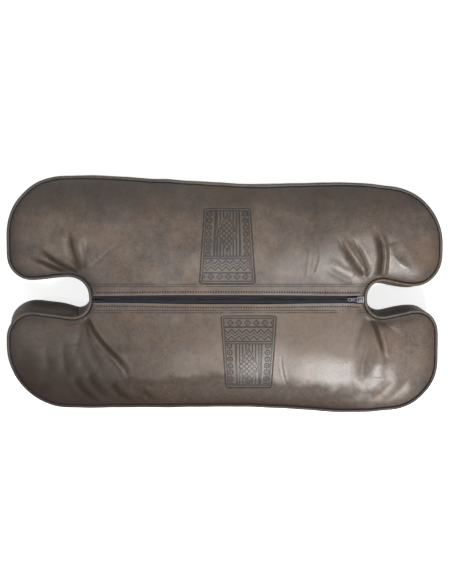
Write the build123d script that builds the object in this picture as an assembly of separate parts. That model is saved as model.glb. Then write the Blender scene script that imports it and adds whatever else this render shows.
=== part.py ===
"""Boxed and stuffed leather seat cushion with a notch in each end, lying zip side up.

Millimetres. +X runs along the length, +Y to the rear long edge, +Z to the zip side.
The origin is on the floor, under the middle of the cushion.
"""

import os
from collections import namedtuple
from math import cos, hypot, pi, radians, sin

from build123d import *

os.makedirs("parts", exist_ok=True)

# Heights. The cushion lies on its seat side; each face crowns away from its welt.
SEAT_CROWN = 14.0
BOXING_HEIGHT = 88.0
ZIP_CROWN = 15.0
BOXING_BULGE = 8.0
FLOOR_CONTACT_CUT = 0.5

# The four lobes. All sideways sizes are counted from the line of the zip:
# tip is how far the end reaches from mid length, edge the long edge at its shoulder,
# droop how much lower that edge is at the tip, mouth and root the sides of the notch
# where they would meet the tip line and the root line.
Lobe = namedtuple("Lobe", "tip edge droop corner_radius mouth mouth_radius root root_radius")
REAR_LEFT = Lobe(
    tip=323.0,
    edge=181.5,
    droop=1.0,
    corner_radius=85.0,
    mouth=29.0,
    mouth_radius=34.0,
    root=42.0,
    root_radius=36.0,
)
REAR_RIGHT = Lobe(
    tip=324.0,
    edge=172.5,
    droop=16.0,
    corner_radius=80.0,
    mouth=14.0,
    mouth_radius=42.0,
    root=37.5,
    root_radius=28.5,
)
FRONT_LEFT = Lobe(
    tip=325.0,
    edge=161.5,
    droop=0.5,
    corner_radius=90.0,
    mouth=17.5,
    mouth_radius=36.0,
    root=35.0,
    root_radius=30.0,
)
FRONT_RIGHT = Lobe(
    tip=320.0,
    edge=169.5,
    droop=12.5,
    corner_radius=72.0,
    mouth=12.0,
    mouth_radius=30.0,
    root=36.0,
    root_radius=28.5,
)
LEFT_NOTCH_ROOT = 200.5
RIGHT_NOTCH_ROOT = 211.5
SHOULDER_REACH = 193.0
SHOULDER_RADIUS = 400.0
REAR_WAIST = 169.5
FRONT_WAIST = 159.8
WAIST_REACH = 45.0
LEAST_SECTION_RADIUS = 3.0
FACET_TURN = radians(13.5)

# Leather and welts
LEATHER = 1.4
WELT_RADIUS = 2.6
WELT_CLEARANCE = 0.6
FLANGE_THICKNESS = 1.8
FLANGE_WIDTH = 4.8
REAR_SEAM_REACH = 123.0
ROOT_SEAM_REACH = 223.0
ROOT_SEAM_MARGIN = 25.0

# Crowns: how far in from the welt each one levels out, and the steps of its quarter
# ellipse as shares of a right angle.
CROWN_REACH = 38.0
CROWN_ANGLE_SHARES = (0.0, 0.3, 0.6, 0.8, 1.0)
PLAIN_ANGLE_SHARES = (0.0, 0.5, 1.0)

# Side walls: steps of their height as shares of it.
WALL_HEIGHT_SHARES = (0.0, 0.25, 0.5, 0.75, 1.0)
PLAIN_HEIGHT_SHARES = (0.0, 0.5, 1.0)

# Trough along the zip
TROUGH_FLAT = 18.0
TROUGH_REACH = 84.0
TROUGH_OVERRUN = 0.4
TROUGH_STEPS = 6
ZIP_SLOT = 12.0

# Zip
TAPE_THICKNESS = 0.8
TAPE_HALF_WIDTH = 17.0
TAPE_GAP = 2.0
COIL_WIDTH = 2.2
COIL_HEIGHT = 2.0
COIL_ROUNDING = 0.6
COIL_GAP = 0.2
COIL_PARTING = 3.0
END_CLEARANCE = 0.4

# Slider and its tab
RUNNING_CLEARANCE = 0.35
SLIDER_LENGTH = 11.0
SLIDER_NOSE_WIDTH = 9.4
SLIDER_TAIL_WIDTH = 8.6
SLIDER_PLATE = 1.3
SLIDER_RAIL = 0.8
SLIDER_UNDER_LENGTH = 6.4
SLIDER_CORNER = 1.0
NECK_LENGTH = 1.8
NECK_WIDTH = 1.2
BAIL_LENGTH = 6.6
BAIL_WIDTH = 1.3
BAIL_BAR = 1.2
BAIL_CLEAR_HEIGHT = 2.0
TAB_LENGTH = 19.0
TAB_WIDTH = 5.4
TAB_THICKNESS = 1.2
TAB_CLEARANCE = 0.35
TAB_WINDOW_LENGTH = 6.6
TAB_HOLE_RADIUS = 1.3
TAB_HOLE_SET_BACK = 3.4

# Insert
INSERT_CLEARANCE = 0.6
INSERT_SEAM_INSET = 9.0
INSERT_REACH = 30.0
TICKING = 1.0
FILLING_CLEARANCE = 0.4

# Heights and places that follow from the sizes above
Z_SEAT_WELT = SEAT_CROWN
Z_ZIP_WELT = SEAT_CROWN + BOXING_HEIGHT
Z_TOP = Z_ZIP_WELT + ZIP_CROWN
SEAM_HALF = FLANGE_THICKNESS / 2
SEAM_INSET = WELT_RADIUS + WELT_CLEARANCE
Z_TAPE = Z_ZIP_WELT + SEAM_HALF
Z_TAPE_TOP = Z_TAPE + TAPE_THICKNESS
Z_TROUGH = Z_TAPE_TOP + LEATHER
Z_COIL_TOP = Z_TAPE_TOP + COIL_HEIGHT
HALF_LENGTH = max(REAR_LEFT.tip, REAR_RIGHT.tip, FRONT_LEFT.tip, FRONT_RIGHT.tip)
HALF_WIDTH = max(REAR_LEFT.edge, REAR_RIGHT.edge, FRONT_LEFT.edge, FRONT_RIGHT.edge)


def outline_corners():
    """Corners of the welt's outline, clockwise from above: x, y and fillet radius."""

    def lobe_corners(lobe, side, depth, notch_root):
        return [
            (side * SHOULDER_REACH, depth * lobe.edge, SHOULDER_RADIUS),
            (side * lobe.tip, depth * (lobe.edge - lobe.droop), lobe.corner_radius),
            (side * lobe.tip, depth * lobe.mouth, lobe.mouth_radius),
            (side * notch_root, depth * lobe.root, lobe.root_radius),
        ]

    rear_right = lobe_corners(REAR_RIGHT, 1, 1, RIGHT_NOTCH_ROOT)
    front_right = lobe_corners(FRONT_RIGHT, 1, -1, RIGHT_NOTCH_ROOT)
    front_left = lobe_corners(FRONT_LEFT, -1, -1, LEFT_NOTCH_ROOT)
    rear_left = lobe_corners(REAR_LEFT, -1, 1, LEFT_NOTCH_ROOT)
    return (
        [(WAIST_REACH, REAR_WAIST, SHOULDER_RADIUS)]
        + rear_right
        + front_right[::-1]
        + [(WAIST_REACH, -FRONT_WAIST, SHOULDER_RADIUS)]
        + front_left
        + rear_left[::-1]
    )


def drawn_in(corners, inset):
    """The same corners with every side moved inward by inset and the fillets to suit."""
    moved = []
    count = len(corners)
    for index, (x, y, radius) in enumerate(corners):
        before_x, before_y, _ = corners[index - 1]
        after_x, after_y, _ = corners[(index + 1) % count]
        length_in = hypot(x - before_x, y - before_y)
        length_out = hypot(after_x - x, after_y - y)
        in_x, in_y = (x - before_x) / length_in, (y - before_y) / length_in
        out_x, out_y = (after_x - x) / length_out, (after_y - y) / length_out
        spread = inset / (1 + in_x * out_x + in_y * out_y)
        bends_outward = in_x * out_y - in_y * out_x < 0
        fitted = radius - inset if bends_outward else radius + inset
        moved.append(
            (
                x + spread * (in_y + out_y),
                y - spread * (in_x + out_x),
                max(fitted, LEAST_SECTION_RADIUS),
            )
        )
    return moved


def rounded_points(corners):
    """Points round the outline: straight runs, and each corner rounded in short facets."""
    points = []
    count = len(corners)
    for index, (x, y, radius) in enumerate(corners):
        here = Vector(x, y)
        back = (Vector(*corners[index - 1][:2]) - here).normalized()
        onward = (Vector(*corners[(index + 1) % count][:2]) - here).normalized()
        half_angle = radians(back.get_angle(onward)) / 2
        half_turn = pi / 2 - half_angle
        middle = (back + onward).normalized()
        centre = here + middle * (radius / sin(half_angle))
        across = (onward - back).normalized()
        steps = max(1, round(2 * half_turn / FACET_TURN))
        for step in range(steps + 1):
            angle = half_turn * (2 * step / steps - 1)
            points.append(centre - middle * (radius * cos(angle)) + across * (radius * sin(angle)))
    return points


def section(inset, z):
    """Points of the outline drawn in by inset, at height z."""
    points = rounded_points(drawn_in(outline_corners(), inset))
    return [Vector(point.X, point.Y, z) for point in points]


def stacked(levels):
    """Solid of flat facets through sections of the outline, each an inset and a height."""
    rings = [section(inset, z) for inset, z in levels]
    facets = [Face(Wire.make_polygon(rings[0])), Face(Wire.make_polygon(rings[-1]))]
    for lower, upper in zip(rings, rings[1:]):
        for index, corner in enumerate(lower):
            quad = (lower[index - 1], corner, upper[index], upper[index - 1])
            facets.append(Face(Wire.make_polygon(quad)))
    return Solid(Shell(facets))


def crown(seam_inset, reach, z_seam, z_level, angle_shares):
    """Domed face of a stuffed cushion, from its seam at z_seam to its level top."""
    levels = []
    for share in angle_shares:
        angle = share * pi / 2
        inset = seam_inset + reach * (1 - cos(angle))
        levels.append((inset, z_seam + (z_level - z_seam) * sin(angle)))
    return stacked(levels)


def wall(seam_inset, middle_inset, z_low, z_high, height_shares):
    """Side wall that bulges at mid height."""
    levels = []
    for share in height_shares:
        bulge = sin(share * pi)
        inset = seam_inset + (middle_inset - seam_inset) * bulge
        levels.append((inset, z_low + (z_high - z_low) * share))
    return stacked(levels)


def slab(x_low, x_high, y_low, y_high, z_low, z_high):
    """Plain box between two corners."""
    size = (x_high - x_low, y_high - y_low, z_high - z_low)
    place = ((x_low + x_high) / 2, (y_low + y_high) / 2, (z_low + z_high) / 2)
    return Pos(*place) * Box(*size)


def trough(lower):
    """What the dome leaves free above the zip: a flat run with an easy rise each side."""
    z_flat = Z_TROUGH - lower
    rise = Z_TOP - lower + TROUGH_OVERRUN - z_flat
    side = []
    for step in range(TROUGH_STEPS + 1):
        share = step / TROUGH_STEPS
        y = TROUGH_FLAT + (TROUGH_REACH - TROUGH_FLAT) * share
        side.append((y, z_flat + rise * (1 - cos(share * pi)) / 2))
    side.append((TROUGH_REACH, z_flat + rise + ZIP_CROWN))
    other_side = [(-y, z) for y, z in reversed(side)]
    profile = make_face(Polyline(*side, *other_side, close=True))
    return extrude(Plane.YZ * profile, HALF_LENGTH, both=True)


def zip_dome(lower, seam_inset):
    """Zip side of the form with the trough taken out of it."""
    dome = crown(seam_inset, CROWN_REACH, Z_TAPE, Z_TOP - lower, CROWN_ANGLE_SHARES)
    return dome - trough(lower)


def make_zip_panels():
    """The two leather panels that meet at the zip."""
    outer = zip_dome(0, SEAM_INSET)
    inner = zip_dome(LEATHER, SEAM_INSET + LEATHER)
    shell = outer - inner
    rear = slab(-HALF_LENGTH, HALF_LENGTH, ZIP_SLOT / 2, HALF_WIDTH, Z_ZIP_WELT, Z_TOP)
    front = slab(-HALF_LENGTH, HALF_LENGTH, -HALF_WIDTH, -ZIP_SLOT / 2, Z_ZIP_WELT, Z_TOP)
    return {"zip_panel_rear": shell & rear, "zip_panel_front": shell & front}


def make_seat_panel():
    """The panel that one sits on, pressed flat where it lies on the floor."""
    z_seam = Z_SEAT_WELT - SEAM_HALF
    outer = crown(SEAM_INSET, CROWN_REACH, z_seam, -FLOOR_CONTACT_CUT, CROWN_ANGLE_SHARES)
    inner = crown(SEAM_INSET + LEATHER, CROWN_REACH, z_seam, LEATHER, CROWN_ANGLE_SHARES)
    above_floor = slab(-HALF_LENGTH, HALF_LENGTH, -HALF_WIDTH, HALF_WIDTH, 0, Z_SEAT_WELT)
    return {"seat_panel": (outer & above_floor) - inner}


def make_boxing():
    """Side wall of leather, sewn from a strip round each notch root and longer ones."""
    z_low = Z_SEAT_WELT + SEAM_HALF
    z_high = Z_ZIP_WELT - SEAM_HALF
    outer = wall(SEAM_INSET, -BOXING_BULGE, z_low, z_high, WALL_HEIGHT_SHARES)
    inner_seam = SEAM_INSET + LEATHER
    inner = wall(inner_seam, LEATHER - BOXING_BULGE, z_low, z_high, WALL_HEIGHT_SHARES)
    ring = outer - inner
    reach_y = max(REAR_LEFT.root, REAR_RIGHT.root) + ROOT_SEAM_MARGIN
    left_root = slab(-ROOT_SEAM_REACH, 0, -reach_y, reach_y, 0, Z_ZIP_WELT)
    right_root = slab(0, ROOT_SEAM_REACH, -reach_y, reach_y, 0, Z_ZIP_WELT)
    past_x = HALF_LENGTH + 2 * BOXING_BULGE
    past_y = HALF_WIDTH + 2 * BOXING_BULGE
    rear_left = slab(-past_x, -REAR_SEAM_REACH, 0, past_y, 0, Z_ZIP_WELT)
    rear_right = slab(-REAR_SEAM_REACH, past_x, 0, past_y, 0, Z_ZIP_WELT)
    front = slab(-past_x, past_x, -past_y, 0, 0, Z_ZIP_WELT)
    long_bands = ring - left_root - right_root
    return {
        "root_band_left": ring & left_root,
        "root_band_right": ring & right_root,
        "rear_band_left": long_bands & rear_left,
        "rear_band_right": long_bands & rear_right,
        "front_band": long_bands & front,
    }


def make_welts():
    """Piping round both faces: an eight-sided round outside and a flat flange in the seam."""
    flat = WELT_RADIUS * cos(pi / 8)
    corner = WELT_RADIUS * sin(pi / 8)
    half_profile = ((corner, -flat), (flat, -corner), (flat, corner), (corner, flat))
    welts = {}
    for name, z in (("zip_side_welt", Z_ZIP_WELT), ("seat_side_welt", Z_SEAT_WELT)):
        outside = stacked([(-reach, z + rise) for reach, rise in half_profile])
        inside = stacked([(reach, z + rise) for reach, rise in half_profile])
        low, high = z - SEAM_HALF, z + SEAM_HALF
        flange = stacked([(flat, low), (flat, high)])
        core = stacked([(flat + FLANGE_WIDTH, low), (flat + FLANGE_WIDTH, high)])
        welts[name] = (outside - inside) + (flange - core)
    return welts


def zip_ends():
    """How far the tapes reach, left and right, before the seam at each notch root."""
    set_back = SEAM_INSET + LEATHER + END_CLEARANCE
    return -(LEFT_NOTCH_ROOT - set_back), RIGHT_NOTCH_ROOT - set_back


def slider_nose():
    """Where the nose of the closed slider stops, just clear of the welt."""
    return RIGHT_NOTCH_ROOT - SEAM_INSET


def neck_start():
    """Where the closed slider's neck begins, seen from the closed chain."""
    return slider_nose() - SLIDER_LENGTH + SLIDER_UNDER_LENGTH - NECK_LENGTH


def make_zip():
    """Two tapes with a coil each; the coils part where the closed slider's neck stands."""
    left, right = zip_ends()
    parted = TAPE_GAP / 2
    pieces = {}
    for name, side in (("rear", 1), ("front", -1)):
        tape = slab(left, right, TAPE_GAP / 2, TAPE_HALF_WIDTH, Z_TAPE, Z_TAPE_TOP)
        neck = neck_start() - END_CLEARANCE
        plan = Polyline(
            (left, COIL_GAP / 2),
            (neck - COIL_PARTING, COIL_GAP / 2),
            (neck, parted),
            (right, parted),
            (right, parted + COIL_WIDTH),
            (neck, parted + COIL_WIDTH),
            (neck - COIL_PARTING, COIL_GAP / 2 + COIL_WIDTH),
            (left, COIL_GAP / 2 + COIL_WIDTH),
            close=True,
        )
        coil = extrude(Pos(0, 0, Z_TAPE_TOP) * make_face(plan), COIL_HEIGHT)
        top_edges = coil.edges().group_by(Axis.Z)[-1]
        coil = chamfer(top_edges.filter_by(lambda edge: edge.length > COIL_WIDTH), COIL_ROUNDING)
        pieces[f"zip_tape_{name}"] = tape if side > 0 else tape.mirror(Plane.XZ)
        pieces[f"zip_coil_{name}"] = coil if side > 0 else coil.mirror(Plane.XZ)
    return pieces


def plan_plate(tail, nose, tail_width, nose_width, z_low, thickness):
    """Plate that widens from tail to nose, as seen from above."""
    outline = Polyline(
        (tail, -tail_width / 2),
        (nose, -nose_width / 2),
        (nose, nose_width / 2),
        (tail, tail_width / 2),
        close=True,
    )
    return extrude(Pos(0, 0, z_low) * make_face(outline), thickness)


def make_slider():
    """Zip slider: upper plate with rails, neck, lower plate, and a bail for the tab."""
    nose = slider_nose()
    tail = nose - SLIDER_LENGTH
    z_plate = Z_COIL_TOP + RUNNING_CLEARANCE
    z_rail = Z_TAPE_TOP + RUNNING_CLEARANCE
    z_under = Z_TAPE - RUNNING_CLEARANCE - SLIDER_PLATE
    upper = plan_plate(tail, nose, SLIDER_TAIL_WIDTH, SLIDER_NOSE_WIDTH, z_plate, SLIDER_PLATE)
    upper = fillet(upper.edges().filter_by(Axis.Z), SLIDER_CORNER)
    rails = plan_plate(tail, nose, SLIDER_TAIL_WIDTH, SLIDER_NOSE_WIDTH, z_rail, z_plate - z_rail)
    rails = fillet(rails.edges().filter_by(Axis.Z), SLIDER_CORNER)
    between = plan_plate(
        tail - SLIDER_RAIL,
        nose + SLIDER_RAIL,
        SLIDER_TAIL_WIDTH - 2 * SLIDER_RAIL,
        SLIDER_NOSE_WIDTH - 2 * SLIDER_RAIL,
        z_rail,
        z_plate - z_rail,
    )
    under_nose = tail + SLIDER_UNDER_LENGTH
    under = plan_plate(
        tail, under_nose, SLIDER_TAIL_WIDTH, SLIDER_TAIL_WIDTH, z_under, SLIDER_PLATE
    )
    under = fillet(under.edges().filter_by(Axis.Z), SLIDER_CORNER)
    neck = slab(
        neck_start(), under_nose, -NECK_WIDTH / 2, NECK_WIDTH / 2, z_under, z_plate + SLIDER_PLATE
    )
    z_bail = z_plate + SLIDER_PLATE
    centre = (tail + nose) / 2
    z_bail_top = z_bail + BAIL_CLEAR_HEIGHT + BAIL_BAR
    bail = slab(
        centre - BAIL_LENGTH / 2,
        centre + BAIL_LENGTH / 2,
        -BAIL_WIDTH / 2,
        BAIL_WIDTH / 2,
        z_bail,
        z_bail_top,
    )
    bail = fillet(bail.edges().filter_by(Axis.Y).group_by(Axis.Z)[-1], BAIL_BAR)
    window = slab(
        centre - BAIL_LENGTH / 2 + BAIL_BAR,
        centre + BAIL_LENGTH / 2 - BAIL_BAR,
        -BAIL_WIDTH,
        BAIL_WIDTH,
        z_bail,
        z_bail + BAIL_CLEAR_HEIGHT,
    )
    return upper + (rails - between) + under + neck + (bail - window)


def tab_axis():
    """Where the tab's crossbar lies in the bail: x and z of its middle."""
    centre = slider_nose() - SLIDER_LENGTH / 2
    x = centre - BAIL_LENGTH / 2 + BAIL_BAR + TAB_THICKNESS / 2 + TAB_CLEARANCE
    z = Z_COIL_TOP + RUNNING_CLEARANCE + SLIDER_PLATE + BAIL_CLEAR_HEIGHT / 2
    return x, z


def make_tab():
    """Pull tab, laid back over the closed chain, with its crossbar through the bail."""
    x, z = tab_axis()
    start = x + TAB_THICKNESS / 2
    outline = Polyline(
        (start, -TAB_WIDTH / 2),
        (start, TAB_WIDTH / 2),
        (start - TAB_LENGTH, TAB_WIDTH / 2),
        (start - TAB_LENGTH, -TAB_WIDTH / 2),
        close=True,
    )
    tab = extrude(Pos(0, 0, z - TAB_THICKNESS / 2) * make_face(outline), TAB_THICKNESS)
    tab = fillet(tab.edges().filter_by(Axis.Z).group_by(Axis.X)[0], TAB_WIDTH / 3)
    window_half = BAIL_WIDTH / 2 + TAB_CLEARANCE
    window = slab(
        start - TAB_THICKNESS - TAB_WINDOW_LENGTH,
        start - TAB_THICKNESS,
        -window_half,
        window_half,
        z - TAB_THICKNESS,
        z + TAB_THICKNESS,
    )
    hole = Pos(start - TAB_LENGTH + TAB_HOLE_SET_BACK, 0, z) * Cylinder(
        TAB_HOLE_RADIUS, 2 * TAB_THICKNESS
    )
    crossbar = tab.edges().filter_by(Axis.Y).group_by(Axis.X)[-1]
    tab = chamfer(crossbar, TAB_THICKNESS / 4)
    return tab - window - hole


def stuffed_form(gap):
    """Closed form of the insert, gap further in than its outside."""
    under_slider = Z_TAPE - SLIDER_PLATE - 2 * RUNNING_CLEARANCE
    lower = Z_TROUGH - under_slider + gap
    seam = INSERT_SEAM_INSET + gap
    middle = LEATHER + INSERT_CLEARANCE + gap - BOXING_BULGE
    body = wall(seam, middle, Z_SEAT_WELT, Z_ZIP_WELT, PLAIN_HEIGHT_SHARES)
    dome = crown(seam, INSERT_REACH, Z_ZIP_WELT, Z_TOP - lower, PLAIN_ANGLE_SHARES)
    z_base = LEATHER + INSERT_CLEARANCE + gap
    base = crown(seam, INSERT_REACH, Z_SEAT_WELT, z_base, PLAIN_ANGLE_SHARES)
    return body + dome + base - trough(lower)


def make_insert():
    """Cotton case and the filling inside it."""
    case = stuffed_form(0) - stuffed_form(TICKING)
    return {"insert_case": case, "insert_filling": stuffed_form(TICKING + FILLING_CLEARANCE)}


def main():
    pieces = {}
    pieces.update(make_zip_panels())
    pieces.update(make_seat_panel())
    pieces.update(make_boxing())
    pieces.update(make_welts())
    pieces.update(make_zip())
    pieces["zip_slider"] = make_slider()
    pieces["pull_tab"] = make_tab()
    pieces.update(make_insert())
    whole = Compound(children=[solid for piece in pieces.values() for solid in piece.solids()])
    box = whole.bounding_box()
    to_middle = Pos(-(box.min.X + box.max.X) / 2, -(box.min.Y + box.max.Y) / 2, 0)
    for name, piece in pieces.items():
        export_step(to_middle * Compound(children=piece.solids()), f"parts/{name}.step")
    axis_x, axis_z = tab_axis()
    print("moved to the middle by", to_middle.position)
    print("tab axis at", axis_x + to_middle.position.X, to_middle.position.Y, axis_z)
    left, _ = zip_ends()
    travel = slider_nose() - SLIDER_LENGTH - left - FLANGE_WIDTH
    print("slider travel", travel)


if __name__ == "__main__":
    main()
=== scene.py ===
# %% [markdown]
# # A stuffed leather seat cushion with a zip
# The cushion lies on its seat side with the zip up. It is a box cushion: two leather faces, a side
# wall sewn from strips, and a piped seam, the welt, round each face. Every piece takes its place
# from one outline, so the outline comes first and all other pieces are drawn from it.

import math

import bmesh
import bpy
from mathutils import Matrix, Vector, noise
from mathutils.bvhtree import BVHTree


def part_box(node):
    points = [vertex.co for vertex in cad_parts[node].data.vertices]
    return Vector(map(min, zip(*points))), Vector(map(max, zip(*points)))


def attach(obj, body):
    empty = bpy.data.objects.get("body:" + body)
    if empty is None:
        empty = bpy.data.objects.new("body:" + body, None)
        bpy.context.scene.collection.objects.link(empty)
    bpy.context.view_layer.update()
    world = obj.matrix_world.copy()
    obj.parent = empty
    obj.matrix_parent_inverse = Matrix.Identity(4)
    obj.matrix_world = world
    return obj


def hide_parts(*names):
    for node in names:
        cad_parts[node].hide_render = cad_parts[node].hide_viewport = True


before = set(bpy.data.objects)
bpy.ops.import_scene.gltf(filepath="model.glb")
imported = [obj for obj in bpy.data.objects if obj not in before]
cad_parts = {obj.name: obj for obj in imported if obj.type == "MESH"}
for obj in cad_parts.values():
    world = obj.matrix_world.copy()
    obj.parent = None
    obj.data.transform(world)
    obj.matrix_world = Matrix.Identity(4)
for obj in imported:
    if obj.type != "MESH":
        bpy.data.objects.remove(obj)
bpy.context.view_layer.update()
MM = 0.001
print("frame has", len(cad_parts), "nodes")

# %% [markdown]
# The zip is the cushion's own middle line, so lengths are counted from it. The frame's tapes tell
# where it lies.

# %% Where the zip lies
rear_tape_low, rear_tape_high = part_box("zip_tape_rear")
front_tape_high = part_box("zip_tape_front")[1]
ZIP_Y = (rear_tape_low.y + front_tape_high.y) / 2
MIDDLE_X = 0.5 * MM
TAPE_TOP = rear_tape_high.z
ZIP_WELT_Z = 102 * MM
SEAT_WELT_Z = 14 * MM
print("zip line at y", round(ZIP_Y / MM, 2), "mm, tape top at", round(TAPE_TOP / MM, 2), "mm")


def place(x, y, z=0.0):
    """A point given in millimetres from the middle of the zip."""
    return Vector((x * MM + MIDDLE_X, y * MM + ZIP_Y, z))


def from_zip(point):
    """The same the other way round: x and y in millimetres from the middle of the zip."""
    return (point.x - MIDDLE_X) / MM, (point.y - ZIP_Y) / MM


def ease(share):
    """Runs from 0 to 1 with a smooth start and end."""
    share = min(max(share, 0.0), 1.0)
    return share * share * (3 - 2 * share)


# %% [markdown]
# The outline is a long body with a rounded notch in each end. Its four lobes differ a little, as
# they do on a hand-cut cushion. Each corner is a point with the radius that rounds it. A lobe takes
# eight lengths: how far its tip and its long edge reach, how far the edge droops toward the tip and
# the radius there, then half the notch's width and its corner's radius, at the mouth and at the root.

# %% Corners of the outline, in millimetres
LOBES = {
    "rear right": (323.5, 173.5, 16, 82, 12, 44, 35.5, 26.5),
    "front right": (318, 170, 11, 73, 10, 32, 34, 26.5),
    "front left": (326, 162, 0.5, 92, 15.5, 38, 33, 28),
    "rear left": (324.5, 183, 1, 84, 27, 36, 40, 34),
}
NOTCH_ROOT_X = {"left": 201.5, "right": 211}
SHOULDER_X = 193
MID_EDGE_X = 45
MID_REAR_Y = 169.5
MID_FRONT_Y = -160.5
SLIGHT_BEND = 400


def lobe_corners(name):
    """The four corners of one lobe, from its shoulder round its tip to the notch's root."""
    tip, edge, droop, corner, mouth, mouth_radius, root, root_radius = LOBES[name]
    depth = 1 if name.startswith("rear") else -1
    side = 1 if name.endswith("right") else -1
    return [
        (side * SHOULDER_X, depth * edge, SLIGHT_BEND),
        (side * tip, depth * (edge - droop), corner),
        (side * tip, depth * mouth, mouth_radius),
        (side * NOTCH_ROOT_X[name.split()[1]], depth * root, root_radius),
    ]


CORNERS = (
    [(MID_EDGE_X, MID_REAR_Y, SLIGHT_BEND)]
    + lobe_corners("rear right")
    + lobe_corners("front right")[::-1]
    + [(MID_EDGE_X, MID_FRONT_Y, SLIGHT_BEND)]
    + lobe_corners("front left")
    + lobe_corners("rear left")[::-1]
)
print("outline has", len(CORNERS), "corners")

# %% [markdown]
# A flat face with a vertex at each corner becomes the outline when every corner is bevelled. The
# bevel's offset is how far an arc's ends lie from the corner. Long edges are divided then, so that
# there is a vertex about every 6 mm, and the line wavers a little, as sewn leather does.

# %% The outline as one flat face
EDGE_STEP = 6.0 * MM
WAVER_SCALE = 31


def outline_face(mesh, z):
    """Adds the outline to a bmesh at height z and returns its one face."""
    verts = [mesh.verts.new(place(x, y, z)) for x, y, radius in CORNERS]
    mesh.faces.new(verts)
    for index, (x, y, radius) in enumerate(CORNERS):
        here = Vector((x, y))
        back = Vector(CORNERS[index - 1][:2]) - here
        onward = Vector(CORNERS[(index + 1) % len(CORNERS)][:2]) - here
        half = back.angle(onward) / 2
        steps = max(2, round(radius * (math.pi - 2 * half) * MM / EDGE_STEP))
        bmesh.ops.bevel(
            mesh,
            geom=[verts[index]],
            offset=radius / math.tan(half) * MM,
            offset_type="OFFSET",
            segments=steps,
            profile=0.5,
            affect="VERTICES",
            material=-1,
        )
    for edge in list(mesh.edges):
        cuts = round(edge.calc_length() / EDGE_STEP) - 1
        if cuts > 0:
            bmesh.ops.subdivide_edges(mesh, edges=[edge], cuts=cuts)
    mesh.faces.ensure_lookup_table()
    face = mesh.faces[0]
    face.normal_update()
    if face.normal.z < 0:
        face.normal_flip()
    for vert in mesh.verts:
        wave = Vector((vert.co.x * WAVER_SCALE, vert.co.y * WAVER_SCALE, 0.3))
        vert.co.x += 0.5 * MM * noise.noise(wave)
        vert.co.y += 0.8 * MM * noise.noise(wave + Vector((5, 1, 2)))
    return face


sketch = bmesh.new()
sketch_face = outline_face(sketch, ZIP_WELT_Z)
OUTLINE = [vert.co.copy() for vert in sketch_face.verts]
print("outline has", len(OUTLINE), "points")

# %% [markdown]
# Two things are read off the outline many times: how far a point lies from it, and which way is
# outward at one of its vertices. A thin ring, extruded from its edges, answers the first. Extruding
# a rim of edges comes up again for the wall and the lips, so it is a helper of its own.

# %% Measuring from the outline
def verts_in(geometry):
    """Only the vertices of an operator's result."""
    return [g for g in geometry if isinstance(g, bmesh.types.BMVert)]


def extrude_rim(mesh, rim):
    """Extrudes edges where they lie, and returns the new vertices and the new rim."""
    made = bmesh.ops.extrude_edge_only(mesh, edges=rim)["geom"]
    verts = verts_in(made)
    fresh = set(verts)
    return verts, [g for g in made if isinstance(g, bmesh.types.BMEdge) and fresh.issuperset(g.verts)]


bmesh.ops.translate(sketch, verts=extrude_rim(sketch, sketch.edges[:])[0], vec=(0, 0, MM))
bmesh.ops.delete(sketch, geom=[sketch_face], context="FACES_ONLY")
EDGE_RING = BVHTree.FromBMesh(sketch)
sketch.free()


def inward(x, y):
    """How far the point, in millimetres from the zip's middle, lies from the outline."""
    return EDGE_RING.find_nearest(place(x, y, ZIP_WELT_Z + MM / 2))[3] / MM


def outline_key(point):
    return round(point.x * 1e5), round(point.y * 1e5)


OUTWARD = {}
outline_length = 0.0
for index, point in enumerate(OUTLINE):
    onward = OUTLINE[(index + 1) % len(OUTLINE)]
    run = onward - OUTLINE[index - 1]
    OUTWARD[outline_key(point)] = Vector((run.y, -run.x, 0)).normalized()
    outline_length += (onward - point).length
print("outline is", round(outline_length, 3), "m long")
print("zip middle is", round(inward(0, 0), 1), "mm inside it")

# %% [markdown]
# A mesh becomes a piece of the cushion with a few calls that every piece needs: a name, a place in
# the scene, smooth shading, the body it rides on and the frame's node it stands for.

# %% Turning a mesh into a piece
PIECES = {}


def in_scene(name, data):
    """A new object at the scene's origin."""
    thing = bpy.data.objects.new(name, data)
    bpy.context.scene.collection.objects.link(thing)
    return thing


def mesh_from(mesh, name):
    """Makes a mesh of a bmesh, and frees the bmesh."""
    data = bpy.data.meshes.new(name)
    mesh.to_mesh(data)
    mesh.free()
    return data


def piece_of(data, name, node=None):
    """Makes a piece of a mesh: it rides on the cushion and may stand for a node."""
    data.name = name
    thing = in_scene(name, data)
    data.shade_smooth()
    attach(thing, "cushion")
    if node:
        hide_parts(node)
    PIECES[name] = thing
    return thing


def piece_from(mesh, name, node=None):
    return piece_of(mesh_from(mesh, name), name, node)


def smooth_by(thing, levels):
    """Adds a subdivision surface, as fine in the view as in the render."""
    smoother = thing.modifiers.new("smooth", "SUBSURF")
    smoother.levels = smoother.render_levels = levels
    return smoother


def finer(mesh, levels):
    """Subdivides a bmesh smoothly, and returns the result as a new bmesh."""
    data = mesh_from(mesh, "finer")
    thing = in_scene("finer", data)
    smooth_by(thing, levels).boundary_smooth = "PRESERVE_CORNERS"
    done = thing.evaluated_get(bpy.context.evaluated_depsgraph_get())
    result = bmesh.new()
    result.from_mesh(done.to_mesh())
    bpy.data.objects.remove(thing)
    bpy.data.meshes.remove(data)
    return result


print("piece maker ready")

# %% [markdown]
# The leather of each face starts flat: the outline, a few rings drawn in from it, which later take
# the round edge, and an even grid of cuts over the rest. The first ring lies under the welt and is
# dropped. A material number marks the part that is still to be cut.

# %% A flat sheet of leather, ready to be shaped
RINGS = 1.4, 2.2, 2.6, 3.4, 4.4
CUT_DIRECTIONS = ((1, 0, 0), 330), ((0, 1, 0), 185)


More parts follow.
